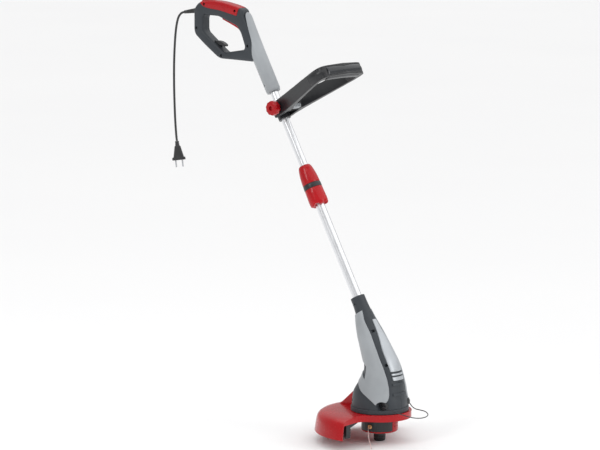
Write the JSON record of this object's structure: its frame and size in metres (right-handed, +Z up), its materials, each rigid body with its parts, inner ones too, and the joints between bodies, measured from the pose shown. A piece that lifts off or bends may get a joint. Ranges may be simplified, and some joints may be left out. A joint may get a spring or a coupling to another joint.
{
  "type": "string trimmer",
  "caption": "Corded string trimmer: telescopic aluminium shaft, closed rear handle, tilting front loop handle, half-moon line guard and bump-feed cutting head.",
  "frame": {"origin": "centre of the flat underside of the bump knob, on the axis of the cutting head", "axes": "+Z up along the axis of the cutting head, +X to the front of the head, +Y to the side away from the clamp knob; the shaft leans back towards -X"},
  "size_m": [0.8768, 0.323, 1.0986],
  "materials": {
    "slate_plastic": "satin moulded dark grey-blue plastic with a fine grain",
    "grey_plastic": "satin light grey painted plastic",
    "silver_plastic": "satin silver-grey plastic",
    "red_plastic": "glossy red plastic",
    "black_plastic": "satin black plastic",
    "black_rubber": "soft black rubber or PVC",
    "aluminium": "bright satin drawn tube",
    "steel": "plain steel",
    "blackened_steel": "thin dark coated steel wire",
    "brass": "plain brass",
    "nylon": "pale nylon line",
    "pale_plastic": "natural white plastic"
  },
  "bodies": {
    "rear_handle": {"handle_shell_left": "slate_plastic", "handle_shell_right": "slate_plastic", "neck_cover": "grey_plastic", "grip_insert": "red_plastic", "cable_hook": "black_plastic", "switch_body": "black_plastic", "handle_screw_1": "steel", "handle_screw_2": "steel", "handle_screw_3": "steel", "handle_screw_4": "steel", "handle_screw_5": "steel", "strain_relief": "black_rubber", "supply_cord": "black_rubber", "plug_body": "black_rubber", "plug_pin_1": "steel", "plug_pin_2": "steel", "upper_tube": "aluminium", "handle_clamp": "black_plastic", "clamp_bolt": "steel"},
    "lower_shaft_and_head": {"lower_tube": "aluminium", "lock_sleeve": "red_plastic", "lock_ring": "black_plastic", "lock_collet": "pale_plastic", "head_shell_left": "slate_plastic", "head_shell_right": "slate_plastic", "side_cover_left": "grey_plastic", "side_cover_right": "grey_plastic", "front_cover": "silver_plastic", "base_flange": "slate_plastic", "guard": "red_plastic", "guard_screw_1": "steel", "guard_screw_2": "steel", "guard_screw_3": "steel", "blade_holder": "black_plastic", "line_blade": "steel", "motor_can": "steel", "wire_boss_left": "black_plastic", "wire_boss_right": "black_plastic", "head_screw_1": "steel", "head_screw_2": "steel", "head_screw_3": "steel"},
    "cutting_head": {"motor_shaft": "steel", "cooling_fan": "black_plastic", "spool_housing": "black_plastic", "spool_cap": "red_plastic", "line_eyelet": "brass", "cutting_line": "nylon", "bump_spring": "steel"},
    "bump_feed": {"line_reel": "pale_plastic", "line_winding": "nylon", "bump_knob": "black_plastic"},
    "plant_guard": {"wire_guard": "blackened_steel"},
    "twist_lock_nut": {"lock_nut": "red_plastic"},
    "front_loop": {"front_handle": "black_plastic", "front_grip": "black_rubber"},
    "tilt_button": {"tilt_button": "grey_plastic"},
    "clamp_knob": {"clamp_knob": "red_plastic"},
    "trigger": {"trigger": "red_plastic"},
    "lock_off_button": {"lock_off_button": "red_plastic"}
  },
  "joints": [
    {"name": "telescope", "type": "slide", "parent": "rear_handle", "child": "lower_shaft_and_head", "axis": [0.4977, 0, -0.8673], "range_m": [-0.13, 0.07]},
    {"name": "twist_lock", "type": "hinge", "parent": "lower_shaft_and_head", "child": "twist_lock_nut", "pos_m": [-0.24603, 0, 0.65689], "axis": [-0.4977, 0, 0.8673], "range_deg": [0, 90]},
    {"name": "spool_spin", "type": "hinge", "parent": "lower_shaft_and_head", "child": "cutting_head", "pos_m": [0, 0, 0.05], "axis": [0, 0, 1], "continuous": true},
    {"name": "bump", "type": "slide", "parent": "cutting_head", "child": "bump_feed", "axis": [0, 0, 1], "range_m": [0, 0.005], "stiffness_N_per_m": 1500, "springref_m": -0.004, "deforming": ["bump_spring"]},
    {"name": "plant_guard_swing", "type": "hinge", "parent": "lower_shaft_and_head", "child": "plant_guard", "pos_m": [0.05, 0, 0.1025], "axis": [0, -1, 0], "range_deg": [0, 80]},
    {"name": "front_handle_tilt", "type": "hinge", "parent": "rear_handle", "child": "front_loop", "pos_m": [-0.32836, 0, 0.83251], "axis": [0, -1, 0], "range_deg": [-35, 45]},
    {"name": "tilt_button_press", "type": "slide", "parent": "front_loop", "child": "tilt_button", "axis": [-0.8763, 0, -0.4818], "range_m": [0, 0.003], "stiffness_N_per_m": 500, "springref_m": -0.002},
    {"name": "clamp_knob_turn", "type": "hinge", "parent": "rear_handle", "child": "clamp_knob", "pos_m": [-0.32836, -0.045, 0.83251], "axis": [0, -1, 0], "range_deg": [0, 360]},
    {"name": "trigger_pull", "type": "hinge", "parent": "rear_handle", "child": "trigger", "pos_m": [-0.489, 0, 1.041], "axis": [0, 1, 0], "range_deg": [0, 5], "stiffness_Nm_per_rad": 2, "springref_deg": -5.73},
    {"name": "lock_off_press", "type": "slide", "parent": "rear_handle", "child": "lock_off_button", "axis": [0, 0, -1], "range_m": [0, 0.003], "stiffness_N_per_m": 500, "springref_m": -0.002}
  ]
}
